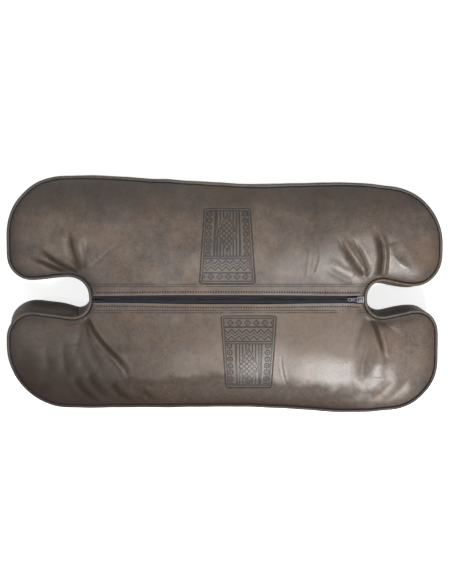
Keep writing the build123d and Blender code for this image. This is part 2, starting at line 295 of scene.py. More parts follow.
def draw_in(mesh, face, width):
    """Insets a face by a width in millimetres."""
    bmesh.ops.inset_region(
        mesh, faces=[face], thickness=width * MM, use_boundary=True, use_even_offset=False
    )


def drop_all_but(mesh, face):
    bmesh.ops.delete(mesh, geom=[f for f in mesh.faces if f != face], context="FACES")


def leather_sheet(grid):
    """The flat sheet inside the welt: rings along its edge and square cells of grid mm."""
    mesh = bmesh.new()
    inner = outline_face(mesh, 0)
    draw_in(mesh, inner, RINGS[0])
    drop_all_but(mesh, inner)
    for width in RINGS[1:]:
        draw_in(mesh, inner, width)
    inner.material_index = 1
    for normal, half in CUT_DIRECTIONS:
        cut = grid / 2 - half
        while cut < half:
            cells = [f for f in mesh.faces if f.material_index == 1]
            edges = {e for f in cells for e in f.edges}
            verts = {v for f in cells for v in f.verts}
            spot = place(cut * normal[0], cut * normal[1])
            bmesh.ops.bisect_plane(
                mesh, geom=[*verts, *edges, *cells], dist=0.3 * MM, plane_co=spot, plane_no=normal
            )
            cut += grid
    for f in mesh.faces:
        f.material_index = 0
    return mesh


print("sheet maker ready")

# %% [markdown]
# The stuffing crowns the zip side: it rises steeply just inside the welt and ever less further in,
# and dips again in a wide hollow to the zip, which holds the leather down. Near the zip the leather
# lies straight on the tape.

# %% Height of the stuffed leather
CROWN = 14.5
CROWN_REACH = 112
EDGE_REACH = 22
HOLLOW_DEPTH = 0.70
HOLLOW_REACH = 51.0
HOLLOW_HALF_LENGTH = 165
LIP_Z = 106.0
LIP_FLAT = 19


def swell(distance, reach):
    """A quarter round, from 0 at the seam to 1 at reach."""
    share = min(distance / reach, 1.0)
    return math.sqrt(1 - (1 - share) ** 2)


def crown_height(x, y, distance):
    """Height of the zip side over its welt, in millimetres."""
    inner = min(distance / CROWN_REACH, 1.0)
    crown = CROWN * (0.32 * swell(distance, EDGE_REACH) + 0.68 * (1 - (1 - inner) ** 2.2))
    hollow = math.exp(-((y / HOLLOW_REACH) ** 2))
    hollow *= 1 - ease((abs(x) - HOLLOW_HALF_LENGTH) / 75)
    crown *= 1 - HOLLOW_DEPTH * hollow
    crown += 1.5 * noise.noise(Vector((x / 62, y / 50, 1.7))) * swell(distance, 40)
    on_tape = (LIP_Z - ZIP_WELT_Z / MM) * ease(distance / 5)
    return crown + (max(crown, on_tape) - crown) * (1 - ease((abs(y) - LIP_FLAT) / 10))


print("crown at the middle of the rear half", round(crown_height(0, 85, inward(0, 85)), 1), "mm")

# %% [markdown]
# Folds run out from the notch roots, where the leather is held by the zip's ends and the curved
# seam. Each fold is a line of points with a width, a depth and a ridge beside it, all in
# millimetres, and a vertex near the line is moved by a smooth valley-and-ridge profile.

# %% Folds of the zip side
# points, the valley's width and depth, and the height of the ridges left and right of the line
FOLDS = (
    # rear left lobe
    ([(-220, 38), (-237, 48), (-253, 58), (-271, 71), (-290, 78)], 3.6, 3.4, 0.6, 1.8),
    ([(-226, 36), (-236, 39), (-252, 46), (-271, 55), (-290, 62), (-302, 70)], 3.2, 3.2, 0.5, 1.7),
    ([(-217, 42), (-222, 55), (-226, 68), (-230, 84), (-232, 100), (-238, 116)], 5.5, 3.6, 0.8, 2.6),
    ([(-211, 44), (-210, 60), (-207, 78), (-204, 96)], 6.5, 2.6, 1.2, 0.5),
    ([(-197, 52), (-186, 61), (-174, 72), (-158, 85)], 2.2, 0.6, 0.5, 0.3),
    ([(-246, 96), (-243, 106), (-236, 116), (-226, 124)], 8.0, 1.4, 0.6, 0.4),
    ([(-262, 88), (-262, 104), (-256, 120), (-246, 132)], 11.0, 1.2, 0.6, 0.8),
    # front left lobe
    (
        [
            (-208, -26), (-197, -46), (-186, -61), (-173, -75),
            (-159, -89), (-150, -102), (-145, -117), (-144, -128),
        ],
        2.6, 3.4, 0.6, 1.5,
    ),
    ([(-209, -28), (-207, -48), (-202, -68), (-195, -84), (-187, -99), (-184, -110)], 5.0, 2.4, 1.0, 1.2),
    ([(-214, -28), (-217, -52), (-222, -76), (-228, -98)], 6.0, 2.0, 0.8, 1.0),
    ([(-240, -64), (-242, -82), (-240, -102), (-234, -120)], 7.0, 1.8, 1.6, 0.4),
    ([(-268, -72), (-266, -92), (-260, -112)], 9.0, 1.6, 0.3, 1.6),
    ([(-226, -120), (-214, -136), (-200, -148), (-186, -157)], 4.2, 2.2, 1.2, 1.2),
    ([(-204, -112), (-198, -126), (-186, -140), (-172, -152)], 4.5, 2.0, 1.0, 1.0),
    ([(-170, -128), (-160, -140), (-146, -149), (-130, -156)], 3.6, 2.0, 1.6, 0.6),
    ([(-126, -138), (-114, -147), (-98, -154)], 3.5, 1.2, 0.9, 0.4),
    ([(-284, -140), (-272, -130), (-262, -118)], 5.0, 1.2, 0.8, 0.4),
    # rear right lobe
    ([(229, 33), (231, 50), (232, 64), (230, 82), (224, 99), (217, 117)], 3.2, 3.2, 0.6, 3.6),
    ([(213, 34), (212, 50), (206, 64), (197, 80), (190, 96)], 2.8, 2.0, 1.2, 0.3),
    ([(207, 35), (195, 49), (184, 65), (174, 83), (166, 100)], 3.0, 2.4, 0.3, 2.2),
    ([(190, 26), (174, 33), (158, 42), (144, 52)], 5.0, 0.8, 0.4, 1.0),
    ([(244, 84), (250, 66), (264, 52), (286, 42)], 9.0, -1.6, 0.0, 0.0),
    # front right lobe
    ([(218, -28), (216, -50), (213, -75), (207, -100), (205, -118), (208, -136)], 9.0, 3.0, 1.8, 0.6),
    ([(221, -28), (227, -46), (233, -64), (237, -80), (244, -94)], 2.8, 2.8, 0.8, 0.8),
    ([(214, -26), (206, -44), (200, -66), (196, -88)], 5.0, 1.6, 0.6, 0.8),
    ([(226, -27), (238, -36), (252, -46), (266, -58)], 4.0, 1.2, 0.5, 0.5),
    ([(226, -31), (240, -31), (256, -27), (272, -22), (288, -18)], 4.6, 3.8, 0.1, 0.5),
    ([(222, -150), (234, -142), (246, -130), (256, -116)], 6.5, 0.8, 0.8, 0.3),
    ([(240, -154), (254, -144), (268, -130), (278, -114)], 6.5, 0.7, 0.7, 0.3),
    ([(200, -144), (196, -130), (190, -118)], 4.5, 0.6, 0.4, 0.3),
    ([(296, -142), (290, -128), (280, -116)], 6.0, 0.5, 0.4, 0.3),
    # long fine creases of the flat leather
    ([(92, -128), (87, -112), (84, -92), (85, -74)], 1.3, 0.3, 0.1, 0.1),
    ([(132, 40), (138, 64), (136, 92)], 1.6, 0.4, 0.2, 0.2),
    ([(118, 34), (122, 70), (116, 98)], 1.5, 0.35, 0.2, 0.2),
)


def fold_profile(side, width, depth, left, right):
    """Height across a fold at a signed distance from its line, and the depth of its valley."""
    blunt = math.sqrt(side * side + 0.16 * width * width) - 0.4 * width
    valley = depth * math.exp(-blunt / width * 1.3)
    near = math.exp(-(((side - 2.1 * width) / (1.5 * width)) ** 2))
    far = math.exp(-(((side + 2.1 * width) / (1.5 * width)) ** 2))
    return left * near + right * far - valley, valley


class Fold:
    """One fold, with the box round it, so that far vertices cost nothing."""

    def __init__(self, points, width, depth, left, right):
        self.points = [Vector(p) for p in points]
        self.shape = width, depth, left, right
        # how much painted shade the valley gets: full for narrow folds, less for wide ones
        self.shade_share = min(1.0, 3.2 / width)
        self.reach = 5.0 * width
        self.low = Vector((min(p.x for p in self.points), min(p.y for p in self.points)))
        self.high = Vector((max(p.x for p in self.points), max(p.y for p in self.points)))
        self.lengths = [(b - a).length for a, b in zip(self.points, self.points[1:])]

    def is_near(self, x, y):
        reach = self.reach
        across = self.low.x - reach < x < self.high.x + reach
        return across and self.low.y - reach < y < self.high.y + reach

    def at(self, x, y):
        """How much the fold lifts the leather here, and how much painted shade its valley gets here."""
        if not self.is_near(x, y):
            return 0.0, 0.0
        here = Vector((x, y))
        best = None
        passed = 0.0
        for start, end, length in zip(self.points, self.points[1:], self.lengths):
            run = (end - start) / length
            along = min(max((here - start).dot(run), 0.0), length)
            away = here - start - run * along
            gap = away.length
            if best is None or gap < best[0]:
                side = gap if run.x * away.y - run.y * away.x > 0 else -gap
                best = gap, side, (passed + along) / sum(self.lengths)
            passed += length
        gap, side, share = best
        if gap > self.reach:
            return 0.0, 0.0
        fade = ease(share / 0.12 + 0.3) * ease((1 - share) / 0.45)
        fade *= ease((self.reach - gap) / (0.4 * self.reach))
        lift, valley = fold_profile(side, *self.shape)
        return lift * fade, valley * fade * self.shade_share


ZIP_SIDE_FOLDS = [Fold(*numbers) for numbers in FOLDS]
print(len(ZIP_SIDE_FOLDS), "folds")

# %% [markdown]
# The zip side is cut from the sheet in two panels. Each one ends at the zip in a turned edge, the
# lip, that stands a little open: 12 mm in the middle and less toward the ends. The lip's edges are
# extruded downward in small steps that roll it under. A shallow channel beside it takes the
# stitches.

# %% The two zip-side panels
PANEL_CELL = 5.0
CUT_HALF = 6.0
LIP_ROLL = (0.5, 0.15), (0.45, 0.45), (0.0, 0.6), (-1.6, 0.3)
STITCH_INSET = 4.0


def lip_at(x, side):
    """How far the lip's fold lies from the zip line at x, in millimetres."""
    spread = ease((x - 188) / 10)
    if side > 0:
        return 6.4 + 1.2 * ease((x + 205) / 150) * ease((196 - x) / 150) + 0.4 * spread
    return 5.9 + 1.7 * ease((x + 160) / 110) * ease((180 - x) / 120) + 0.8 * spread


def zip_side_panel(side):
    """One panel: side is 1 for the rear and -1 for the front."""
    mesh = leather_sheet(PANEL_CELL)
    bmesh.ops.bisect_plane(
        mesh,
        geom=mesh.verts[:] + mesh.edges[:] + mesh.faces[:],
        dist=0.2 * MM,
        plane_co=place(0, side * CUT_HALF),
        plane_no=(0, side, 0),
        clear_inner=True,
    )
    bmesh.ops.remove_doubles(mesh, verts=mesh.verts[:], dist=1.1 * MM)
    for vert in mesh.verts:
        x, y = from_zip(vert.co)
        distance = inward(x, y)
        near = 1 - ease((abs(y) - CUT_HALF) / 30)
        vert.co.y += side * (lip_at(x, side) - CUT_HALF) * near * MM
        tuck = 1.8 * (1 - ease((distance - 1.5) / 2.8))
        vert.co.z = ZIP_WELT_Z + (crown_height(x, y, distance) - tuck) * MM
    mesh = finer(mesh, 2)
    depth = mesh.verts.layers.float.new("fold")
    seam = mesh.verts.layers.float.new("seam")
    lip_side = mesh.verts.layers.float.new("lip")
    for vert in mesh.verts:
        x, y = from_zip(vert.co)
        distance = inward(x, y)
        from_lip = abs(y) - lip_at(x, side)
        lift = valley = 0.0
        for fold in ZIP_SIDE_FOLDS:
            up, down = fold.at(x, y)
            lift += up
            valley += down
        settle = ease((distance - 1.5) / 9) * ease((abs(y) - 9) / 8)
        stitch_row = math.exp(-(((from_lip - STITCH_INSET) / 1.2) ** 2))
        ripple = 0.5 * noise.noise(Vector((x / 9, y / 9, 3.1))) * (1 - ease(distance / 16))
        vert.co.z += (lift * settle - 0.2 * stitch_row + ripple * ease(distance / 3)) * MM
        vert[depth] = valley * settle
        vert[seam] = distance
        vert[lip_side] = from_lip
    lip = [e for e in mesh.edges if e.is_boundary and all(abs(v[lip_side]) < 0.6 for v in e.verts)]
    for across, down in LIP_ROLL:
        rolled, lip = extrude_rim(mesh, lip)
        bmesh.ops.translate(mesh, verts=rolled, vec=(0, -side * across * MM, -down * MM))
    bmesh.ops.recalc_face_normals(mesh, faces=mesh.faces[:])
    if sum(f.normal.z for f in mesh.faces) < 0:
        bmesh.ops.reverse_faces(mesh, faces=mesh.faces[:])
    return mesh


for side, name in ((1, "rear"), (-1, "front")):
    panel = piece_from(zip_side_panel(side), f"leather_{name}", f"zip_panel_{name}")
    print(panel.name, "has", len(panel.data.polygons), "faces")

# %% [markdown]
# The side wall is one strip of leather in height, sewn from several in length. Its edge ring is
# extruded upward row by row, then each vertex moves outward by a bulge that the stuffing gives,
# with slack drags here and there. In the front left notch the wall leans far out.

# %% The side wall
WALL_ROWS = 14
WALL_LOW = SEAT_WELT_Z + 0.4 * MM
WALL_HIGH = ZIP_WELT_Z - 0.4 * MM
BULGE = 2.5
UNDER_WELT = 1.4
# x and y of each place where the wall leans out, its width and how far it leans
LEANING = (-266, -22, 60, 15.0), (250, -20, 38, 6.0), (256, 22, 36, 6.0)


def wall_lean(x, y):
    """Extra bulge of the wall, in millimetres, where it faces a notch."""
    lean = 0.0
    for spot_x, spot_y, wide, extra in LEANING:
        lean += extra * math.exp(-(((x - spot_x) / wide) ** 4) - ((y - spot_y) / 20) ** 4)
    return lean


def side_wall():
    mesh = bmesh.new()
    face = outline_face(mesh, WALL_LOW)
    rim = list(mesh.edges)
    bmesh.ops.delete(mesh, geom=[face], context="FACES_ONLY")
    for row in range(WALL_ROWS):
        raised, rim = extrude_rim(mesh, rim)
        bmesh.ops.translate(mesh, verts=raised, vec=(0, 0, (WALL_HIGH - WALL_LOW) / WALL_ROWS))
    for vert in mesh.verts:
        out = OUTWARD[outline_key(vert.co)]
        x, y = from_zip(vert.co)
        share = (vert.co.z - WALL_LOW) / (WALL_HIGH - WALL_LOW)
        round_out = math.sin(math.pi * share) ** 0.75 if 0 < share < 1 else 0.0
        drag = noise.noise(Vector((vert.co.x * 24, vert.co.y * 24, vert.co.z * 16)))
        fine = noise.noise(Vector((vert.co.x * 90, vert.co.y * 90, vert.co.z * 30)))
        reach = BULGE + UNDER_WELT + wall_lean(x, y) + 1.2 * drag + 0.4 * fine
        vert.co += out * (round_out * reach - UNDER_WELT) * MM
    return mesh


print("wall maker ready")

# %% [markdown]
# The wall is divided at its upright seams: a short strip round the root of each notch, one strip
# along the front, and two along the rear. Their raw ends are smoothed a little, as a seam pulls
# them straight.

# %% The strips of the wall
ROOT_X = 150, 223
ROOT_HALF = 67
REAR_SEAM_X = -123
STRIPS = "root_band_left", "root_band_right", "front_band", "rear_band_left", "rear_band_right"


def wall_band(x, y):
    """Which strip of the wall a face at x, y belongs to."""
    if ROOT_X[0] < abs(x) < ROOT_X[1] and abs(y) < ROOT_HALF:
        return "root_band_left" if x < 0 else "root_band_right"
    if y < 0:
        return "front_band"
    return "rear_band_left" if x < REAR_SEAM_X else "rear_band_right"


whole_wall = mesh_from(side_wall(), "whole_wall")
for node in STRIPS:
    band = bmesh.new()
    band.from_mesh(whole_wall)
    others = [f for f in band.faces if wall_band(*from_zip(f.calc_center_median())) != node]
    bmesh.ops.delete(band, geom=others, context="FACES")
    ends = [v for v in band.verts if v.is_boundary and WALL_LOW + MM < v.co.z < WALL_HIGH - MM]
    bmesh.ops.smooth_vert(
        band, verts=ends, factor=0.3, use_axis_x=True, use_axis_y=True, use_axis_z=False
    )
    strip = piece_from(band, f"leather_{node}", node)
    smooth_by(strip, 1)
    print(strip.name, "has", len(strip.data.polygons), "faces")
bpy.data.meshes.remove(whole_wall)

# %% [markdown]
# The seat side lies on the floor. It has the same crown upside down, pressed flat where it touches,
# so the sheet is shaped like the zip side, cut off at the floor and turned over.

# %% The seat side
SEAT_CELL = 12.0
SEAT_CROWN = 14.6
FLOOR_CLEARANCE = 0.25


def seat_side():
    mesh = leather_sheet(SEAT_CELL)
    bmesh.ops.remove_doubles(mesh, verts=mesh.verts[:], dist=1.1 * MM)
    for vert in mesh.verts:
        x, y = from_zip(vert.co)
        distance = inward(x, y)
        crown = SEAT_CROWN * (0.6 * swell(distance, 34) + 0.4 * swell(distance, 60))
        crown += 0.5 * noise.noise(Vector((x / 30, y / 30, 8.0)))
        tuck = 1.2 * (1 - ease(distance / 3.2))
        vert.co.z = max(SEAT_WELT_Z - (crown - tuck) * MM, FLOOR_CLEARANCE * MM)
    bmesh.ops.reverse_faces(mesh, faces=mesh.faces[:])
    return finer(mesh, 1)


seat = piece_from(seat_side(), "leather_seat", "seat_panel")
print("seat side has", len(seat.data.polygons), "faces")

# %% [markdown]
# The welt is a cord wrapped in leather and sewn into the seam. It follows the outline as a curve
# with a round bevel, and is made a mesh so that it can carry its own finish.

# %% The two welts
WELT_RADIUS = 2.3


def welt(name, z, node):
    curve = bpy.data.curves.new(name, "CURVE")
    curve.dimensions = "3D"
    curve.bevel_depth = WELT_RADIUS * MM
    curve.bevel_resolution = 3
    spline = curve.splines.new("NURBS")
    spline.points.add(len(OUTLINE) - 1)
    for point, knot in zip(OUTLINE, spline.points):
        pucker = 0.25 * MM * noise.noise(Vector((point.x * 60, point.y * 60, z * 90)))
        knot.co = (point.x, point.y, z + pucker, 1)
    spline.use_cyclic_u = True
    spline.order_u = 3
    spline.resolution_u = 3
    drawn = in_scene(name, curve)
    data = bpy.data.meshes.new_from_object(drawn.evaluated_get(bpy.context.evaluated_depsgraph_get()))
    bpy.data.objects.remove(drawn)
    return piece_of(data, name, node)


for side, z in (("zip_side", ZIP_WELT_Z), ("seat_side", SEAT_WELT_Z)):
    made = welt(f"welt_{side}", z, f"{side}_welt")
    print(made.name, "has", len(made.data.polygons), "faces")

# %% [markdown]
# The tapes are plain woven strips that run on under the welt at both ends, where they are sewn in.

# %% The zip's tapes
TAPE_THICK = 0.8
TAPE_NEAR = 0.75
TAPE_FAR = 17.0
TAPE_ENDS = -200.3, 209.8


def zip_tape(side):
    mesh = bmesh.new()
    bmesh.ops.create_cube(mesh, size=MM)
    first, last = TAPE_ENDS
    bmesh.ops.scale(mesh, verts=mesh.verts[:], vec=(last - first, TAPE_FAR - TAPE_NEAR, TAPE_THICK))
    from_middle = side * (TAPE_FAR + TAPE_NEAR) / 2
    middle = place((first + last) / 2, from_middle, TAPE_TOP - TAPE_THICK / 2 * MM)
    bmesh.ops.translate(mesh, verts=mesh.verts[:], vec=middle)
    return mesh


for side, name in ((1, "rear"), (-1, "front")):
    strip = piece_from(zip_tape(side), f"tape_{name}", f"zip_tape_{name}")
    strip.data.shade_flat()
    print(strip.name, "is", round(strip.dimensions.x / MM), "mm long")

# %% [markdown]
# The zip's chain is two coils of thick nylon thread. One turn is a small ring, spun from a few
# vertices and squashed a little, and it is repeated along each tape. The coils leave 1.3 mm between
# them, because the slider's neck runs there all the way to the open end.

# %% The zip's coils
TURN_PITCH = 1.5
TURN_RADIUS = 0.66
THREAD_RADIUS = 0.42
COIL_Y = 1.65
COIL_RISE = 0.95


def connected(start):
    """All vertices of the loose part that start belongs to."""
    found = {start}
    edge = [start]
    while edge:
        edge = [o for v in edge for e in v.link_edges for o in e.verts if o not in found]
        found.update(edge)
    return list(found)


def coil(side, node):
    """One half of the chain, and how many turns it has."""
    low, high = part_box(node)
    mesh = bmesh.new()
    x = low.x + MM
    turn = 0
    while x < high.x - MM:
        centre = Vector((x, ZIP_Y + side * COIL_Y * MM, TAPE_TOP + COIL_RISE * MM))
        made = bmesh.ops.create_circle(mesh, segments=5, radius=THREAD_RADIUS * MM, cap_ends=False)
        first = made["verts"]
        upright = Matrix.Rotation(math.pi / 2, 3, "X")
        bmesh.ops.rotate(mesh, verts=first, cent=(0, 0, 0), matrix=upright)
        bmesh.ops.translate(mesh, verts=first, vec=(0, 0, TURN_RADIUS * MM))
        loop = list({e for v in first for e in v.link_edges})
        spun = bmesh.ops.spin(
            mesh, geom=first + loop, cent=(0, 0, 0), axis=(1, 0, 0),
            angle=math.tau, steps=7, use_merge=True,
        )["geom_last"]
        ring = connected(first[0] if first[0].is_valid else spun[0])
        bmesh.ops.scale(mesh, verts=ring, vec=(1, 0.9, 1))
        bmesh.ops.translate(mesh, verts=ring, vec=centre)
        x += TURN_PITCH * MM
        turn += 1
    return mesh, turn


for side, name in ((1, "rear"), (-1, "front")):
    turns, count = coil(side, f"zip_coil_{name}")
    made = piece_from(turns, f"chain_{name}", f"zip_coil_{name}")
    print(made.name, "has", count, "turns")

# %% [markdown]
# A row of stitches holds each lip to its tape. A stitch is a small ball drawn out along the row and
# set on the leather, which a ray from above finds.

# %% Stitches along the lips
STITCH_PITCH = 3.8
STITCHED = -192.0, 203.0


def stitch_row(side):
    panel = PIECES["leather_rear" if side > 0 else "leather_front"]
    surface = BVHTree.FromObject(panel, bpy.context.evaluated_depsgraph_get())
    mesh = bmesh.new()
    x, last = STITCHED
    while x < last:
        above = place(x, side * (lip_at(x, side) + STITCH_INSET), 0.2)
        hit = surface.ray_cast(above, Vector((0, 0, -1)))[0]
        if hit:
            ball = bmesh.ops.create_uvsphere(mesh, u_segments=6, v_segments=4, radius=MM)["verts"]
            bmesh.ops.scale(mesh, verts=ball, vec=(1.05, 0.7, 0.45))
            bmesh.ops.translate(mesh, verts=ball, vec=hit)
        x += STITCH_PITCH
    return mesh


for side, name in ((1, "rear"), (-1, "front")):
    made = piece_from(stitch_row(side), f"stitches_{name}")
    print(made.name, "has", len(made.data.polygons), "faces")

# %% [markdown]
# The insert hides inside the cover: a cotton case with the stuffing in it. Both are drawn from the
# same outline, further in, as closed crowned forms.

# %% The insert
PILLOW_ROWS = 8
PILLOW_BULGE = 9.0
PILLOW_DOME = (2.5, 2.6), (4, 2.4), (5, 2.0), (5, 1.2)


def pillow(inset, low, high):
    """Closed stuffed form: side rows extruded from the drawn-in outline, and domed faces."""
    mesh = bmesh.new()
    face = outline_face(mesh, low)
    draw_in(mesh, face, inset)
    drop_all_but(mesh, face)
    top = face
    for row in range(PILLOW_ROWS):
        made = bmesh.ops.extrude_face_region(mesh, geom=[top])["geom"]
        if row:
            bmesh.ops.delete(mesh, geom=[top], context="FACES_ONLY")
        top = next(g for g in made if isinstance(g, bmesh.types.BMFace))
        bmesh.ops.translate(mesh, verts=verts_in(made), vec=(0, 0, (high - low) / PILLOW_ROWS))
    mesh.normal_update()
    for vert in mesh.verts:
        sides = [f.normal for f in vert.link_faces if abs(f.normal.z) < 0.5]
        if sides:
            share = (vert.co.z - low) / (high - low)
            vert.co += sum(sides, Vector()).normalized() * PILLOW_BULGE * math.sin(math.pi * share) * MM
    for cap in [f for f in mesh.faces if len(f.verts) > 4]:
        up = 1 if cap.calc_center_median().z > (low + high) / 2 else -1
        for width, rise in PILLOW_DOME:
            draw_in(mesh, cap, width)
            bmesh.ops.translate(mesh, verts=cap.verts[:], vec=(0, 0, up * rise * MM))
    bmesh.ops.triangulate(mesh, faces=[f for f in mesh.faces if len(f.verts) > 4])
    bmesh.ops.recalc_face_normals(mesh, faces=mesh.faces[:])
    return mesh


for name, node, slot, inset in (
    ("insert_cover", "insert_case", "ticking", 10.0),
    ("insert_stuffing", "insert_filling", "filling", 12.5),
):
    form = pillow(inset, SEAT_WELT_Z + inset / 10 * MM, ZIP_WELT_Z - (8 + inset / 5) * MM)
    made = piece_from(form, name, node)
    print(made.name, "has", len(made.data.polygons), "faces")

# %% [markdown]
# Shader maths reads best as plain expressions. This small class wraps a node's socket, so that
# adding or multiplying two of them adds the Math node, and a finish makes any other node by type.

# %% Writing shader nodes as expressions
class Socket:
    """The output of a node, for use in an expression."""

    def __init__(self, finish, output):
        self.finish = finish
        self.output = output

    def math(self, operation, *others):
        return self.finish.node("ShaderNodeMath", {"operation": operation}, self, *others)

    def __add__(self, other):
        return self.math("ADD", other)

    def __sub__(self, other):
        return self.math("SUBTRACT", other)

    def __rsub__(self, other):
        return self.finish.node("ShaderNodeMath", {"operation": "SUBTRACT"}, other, self)

    def __mul__(self, other):
        return self.math("MULTIPLY", other)

    def __truediv__(self, other):
        return self.math("DIVIDE", other)

    def __rtruediv__(self, other):
        return self.finish.node("ShaderNodeMath", {"operation": "DIVIDE"}, other, self)

    __radd__ = __add__
    __rmul__ = __mul__

    def __abs__(self):
        return self.math("ABSOLUTE")

    def __mod__(self, other):
        return self.math("FLOORED_MODULO", other)

    def __lt__(self, other):
        return self.math("LESS_THAN", other)

    def __gt__(self, other):
        return self.math("GREATER_THAN", other)

    def least(self, other):
        return self.math("MINIMUM", other)

    def most(self, other):
        return self.math("MAXIMUM", other)

    def rise(self, start, end):
        """0 below start, 1 above end, smooth between."""
        settings = {"interpolation_type": "SMOOTHSTEP"}
        return self.finish.node("ShaderNodeMapRange", settings, self, start, end, 0.0, 1.0)

    def fall(self, start, end):
        return 1 - self.rise(start, end)


class Finish:
    """One material, or the sky. Its nodes are made by type, with settings first and sockets after."""

    def __init__(self, name, owner=None, shader="Principled BSDF", **constants):
        self.material = owner or bpy.data.materials.new(name)
        self.material.use_nodes = True
        self.tree = self.material.node_tree
        self.shader = self.tree.nodes[shader]
        for socket, value in constants.items():
            self.shader.inputs[socket.replace("_", " ")].default_value = value

    def node(self, kind, settings=None, *values, out=0):
        made = self.tree.nodes.new(kind)
        for key, value in (settings or {}).items():
            if key == "stops":
                for position, _ in value[1:-1]:
                    made.color_ramp.elements.new(position)
                for stop, (position, colour) in zip(made.color_ramp.elements, value):
                    stop.position, stop.color = position, (*colour, 1)
            else:
                setattr(made, key, value)
        inputs = [i for i in made.inputs if i.enabled]
        for socket, value in zip(inputs, values):
            if isinstance(value, Socket):
                self.tree.links.new(value.output, socket)
            elif value is not None:
                socket.default_value = value
        outputs = [o for o in made.outputs if o.enabled]
        return Socket(self, outputs[out])

    def blend(self, low, high, share):
        """Colour between two colours."""
        low, high = ((*c, 1) if isinstance(c, tuple) else c for c in (low, high))
        return self.node("ShaderNodeMix", {"data_type": "RGBA"}, share, low, high)

    def layers(self, colour, *coats):
        """A colour with coats over it, each a colour and how much it covers."""
        for coat, share in coats:
            colour = self.blend(colour, coat, share)
        return colour

    def where(self):
        """Place on the piece, as one vector in metres."""
        return self.node("ShaderNodeTexCoord", None, out=3)

    def spot(self):
        """The same vector, then x, y and z in millimetres from the zip's middle."""
        where = self.where()
        split = self.node("ShaderNodeSeparateXYZ", None, where).output.node
        x, y, z = (Socket(self, part) for part in split.outputs)
        return where, (x - MIDDLE_X) * 1000, (y - ZIP_Y) * 1000, z * 1000

    def clouds(self, where, scale, detail=3.0, rough=0.5, stretch=(1, 1, 1)):
        """Noise from 0 to 1 with scale features to the metre."""
        stretched = self.node("ShaderNodeVectorMath", {"operation": "MULTIPLY"}, where, stretch)
        return self.node("ShaderNodeTexNoise", None, stretched, scale, detail, rough)

    def attribute(self, name):
        return self.node("ShaderNodeAttribute", {"attribute_name": name}, out=2)

    def bump(self, height, strength):
        """Relief from a height in millimetres."""
        return self.node("ShaderNodeBump", None, strength, MM, None, height)

    def feed(self, **sockets):
        for name, value in sockets.items():
            self.tree.links.new(value.output, self.shader.inputs[name.replace("_", " ")])

    def on(self, *names):
        """Puts the finish on pieces."""
        for name in names:
            PIECES[name].data.materials.append(self.material)


print("shader helpers ready")

# %% [markdown]
# The leather is drum dyed and waxed by hand: taupe with darker clouds, warm patches where the wax is
# thin, and a fine grain. The colours are mixed from noise of several sizes, and the grain is a bump
# of small round cells.

# %% Colours and grain that every leather piece shares
DARK = (0.032, 0.024, 0.020)
TAUPE = (0.122, 0.091, 0.071)
PALE = (0.215, 0.168, 0.136)
WARM = (0.190, 0.106, 0.056)
SLATE = (0.082, 0.077, 0.078)
# dark brown of the burnished front edge, also used as painted shade in the folds' valleys
BURNISH_AND_CREASE_SHADE = (0.021, 0.011, 0.006)


def waxed_leather(finish, where, dark=DARK, middle=TAUPE, pale=PALE):
    """Base colour and grain height, in millimetres, of the waxed leather."""
    broad = finish.clouds(where, 10, 3, 0.55)
    patch = finish.clouds(where, 40, 4, 0.62)
    mottle = finish.clouds(where, 150, 4, 0.7, (1, 0.8, 1))
    speck = finish.clouds(where, 560, 2, 0.7)
    tone = (broad * 0.8 + patch * 0.6 + mottle * 0.55 + speck * 0.75 - 0.95) / 0.82
    stops = (0.0, dark), (0.5, middle), (1.0, pale)
    colour = finish.node("ShaderNodeValToRGB", {"stops": stops}, tone)
    warm = finish.clouds(where, 15, 3, 0.6).rise(0.40, 0.66)
    warm = warm * (mottle * 0.6 + speck * 0.4).rise(0.36, 0.62)
    colour = finish.blend(colour, WARM, warm * 0.45)
    cool = finish.clouds(where, 23, 4, 0.65, (0.9, 1.1, 1)).rise(0.48, 0.72)
    colour = finish.blend(colour, SLATE, cool * 0.4)
    pores = finish.node("ShaderNodeTexVoronoi", None, where, 560.0)
    grain = pores * 0.07 + finish.clouds(where, 1300, 2, 0.6) * 0.03 + patch * 0.2 + mottle * 0.10
    return colour, grain, speck


print("leather colours ready")

# %% [markdown]
# Two panels are tooled into the zip side, pressed with a hot stamp: a double frame that widens
# toward the zip, with a plain geometric border pattern in it. The stamp is drawn as a height from
# lines, zigzags, rings and a lattice, each an expression of the place on the leather.

# %% The tooled panels
PANEL_MIDDLE_REAR = 3.4
PANEL_MIDDLE_FRONT = 35.4
PANEL_START = 23.6
PANEL_HALF = 42.2
PANEL_TAPER = 7.8
CORNER = 5.0
BORDER_TOP = 43.0


def line(distance, width):
    """1 on a line, 0 beyond its half width; distance counts from the line."""
    return 1 - abs(distance).rise(width * 0.5, width * 1.1)


def lines(*pairs):
    """Several lines as one figure, each a distance and a width."""
    figure, *others = (line(*pair) for pair in pairs)
    for other in others:
        figure = figure.most(other)
    return figure


def repeated(along, pitch, phase=200):
    """Distance from the nearest of a row of places with an even pitch."""
    return (along + phase) % pitch - pitch / 2


def reach_of(across, along):
    return (across * across + along * along).math("SQRT")


